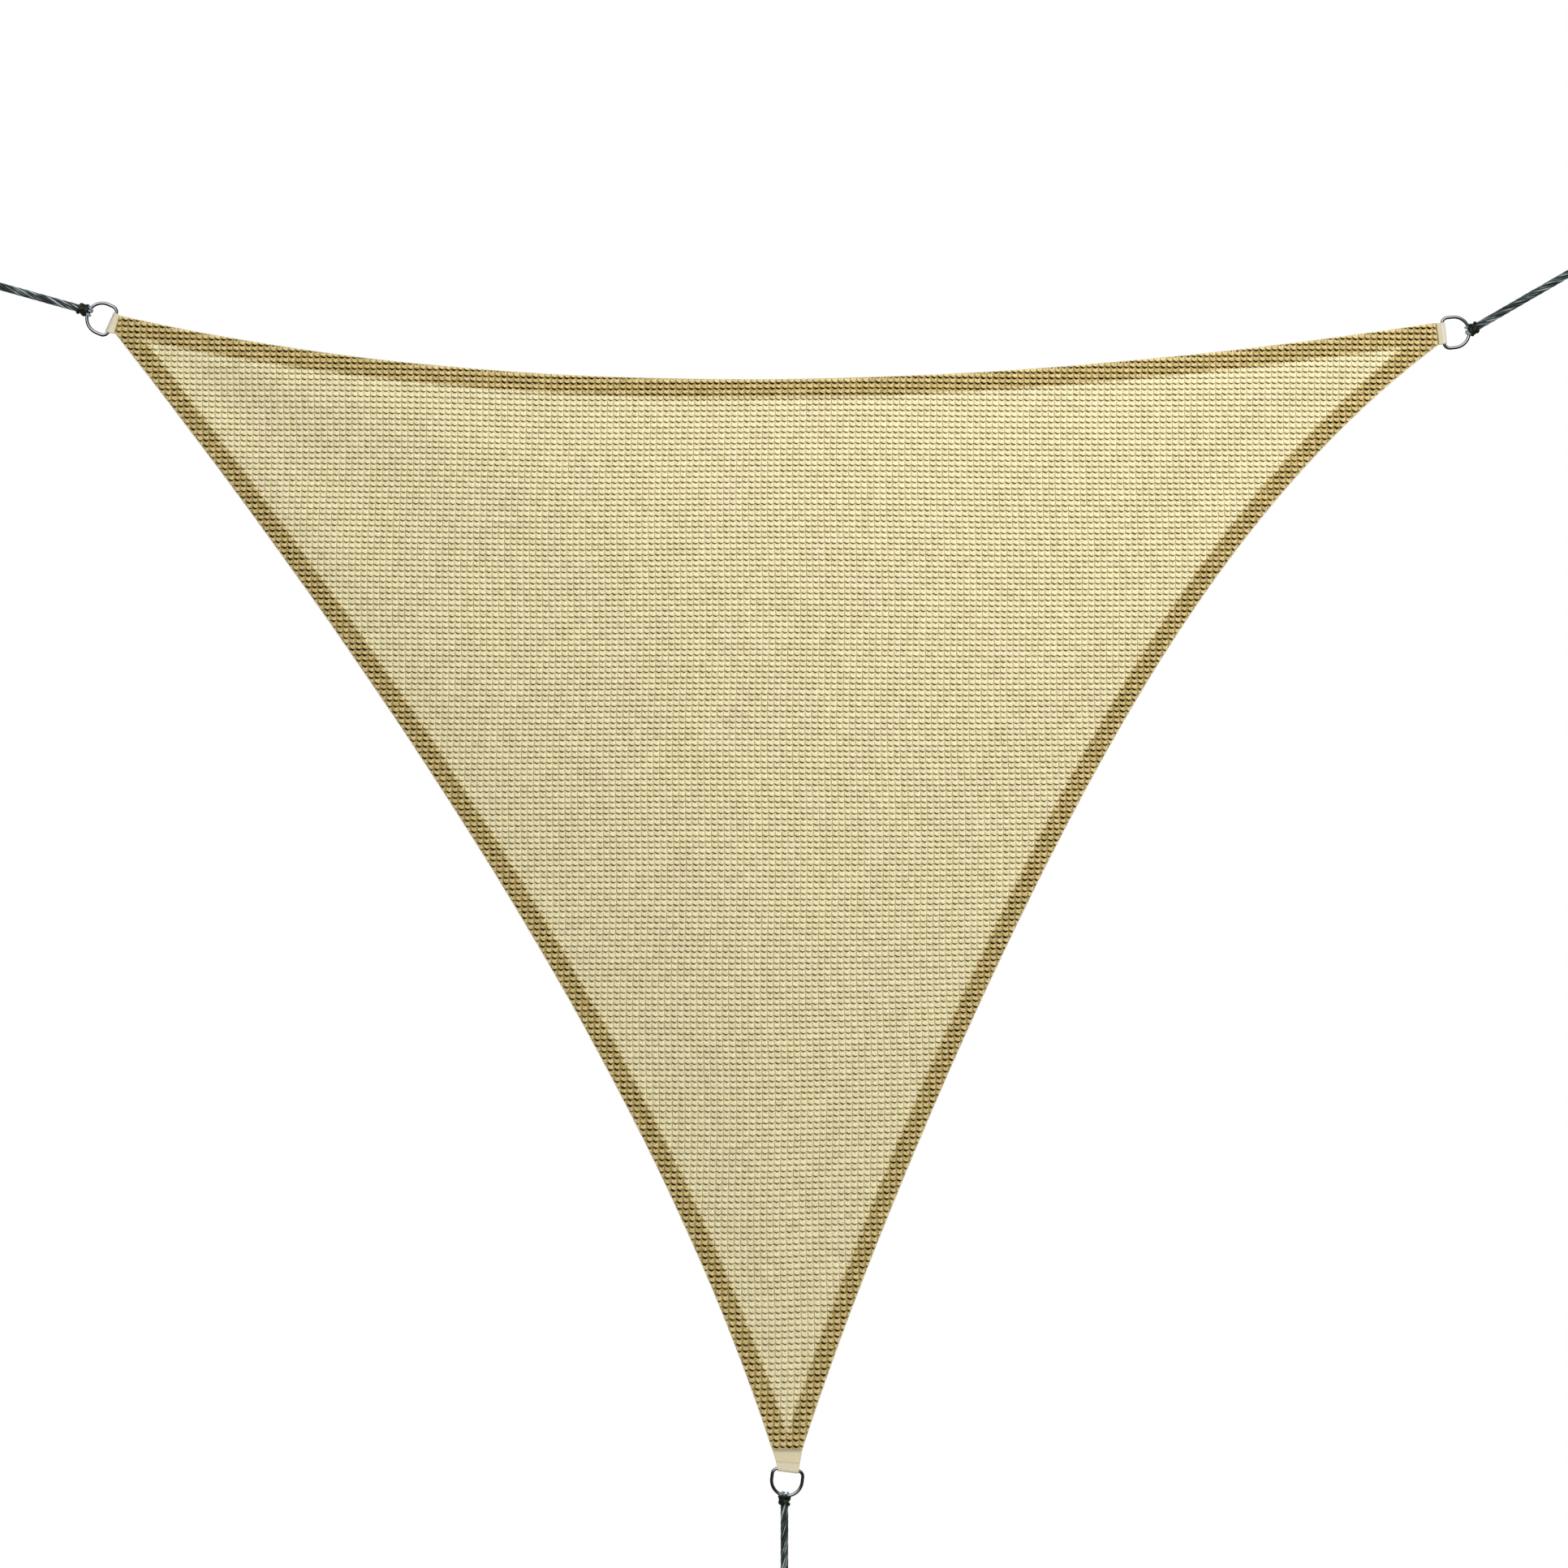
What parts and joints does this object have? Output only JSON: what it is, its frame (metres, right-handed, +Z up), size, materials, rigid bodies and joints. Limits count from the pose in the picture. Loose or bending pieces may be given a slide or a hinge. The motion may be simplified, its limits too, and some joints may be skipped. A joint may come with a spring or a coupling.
{
  "type": "shade sail",
  "caption": "Triangular shade sail of knitted shade cloth with hollow-cut, hemmed sides, held taut at its corners by webbing straps, steel D-rings and knotted ropes.",
  "frame": {"origin": "the point where the left end loop bears on its hook, in the plane of the three rings", "axes": "+X to the right along the sail as its face is seen, +Y away from the viewer, square to the sail, +Z up; the face looks towards -Y"},
  "size_m": [2.6054, 0.0604, 2.1607],
  "materials": {
    "shade_cloth": "cream knit of flat yarn, matt",
    "webbing": "cream woven webbing, matt",
    "ring_steel": "polished stainless wire",
    "rope": "dark green laid rope, slightly glossy"
  },
  "bodies": {
    "root": {"sail_cloth": "shade_cloth", "corner_strap_left": "webbing", "corner_strap_right": "webbing", "corner_strap_bottom": "webbing", "d_ring_left": "ring_steel", "d_ring_right": "ring_steel", "d_ring_bottom": "ring_steel", "ring_hitch_left": "rope", "ring_hitch_right": "rope", "ring_hitch_bottom": "rope", "rope_left": "rope", "rope_right": "rope", "rope_bottom": "rope", "end_knot_left": "rope", "end_knot_right": "rope", "end_knot_bottom": "rope", "end_eye_left": "rope", "end_eye_right": "rope", "end_eye_bottom": "rope"}
  },
  "joints": []
}
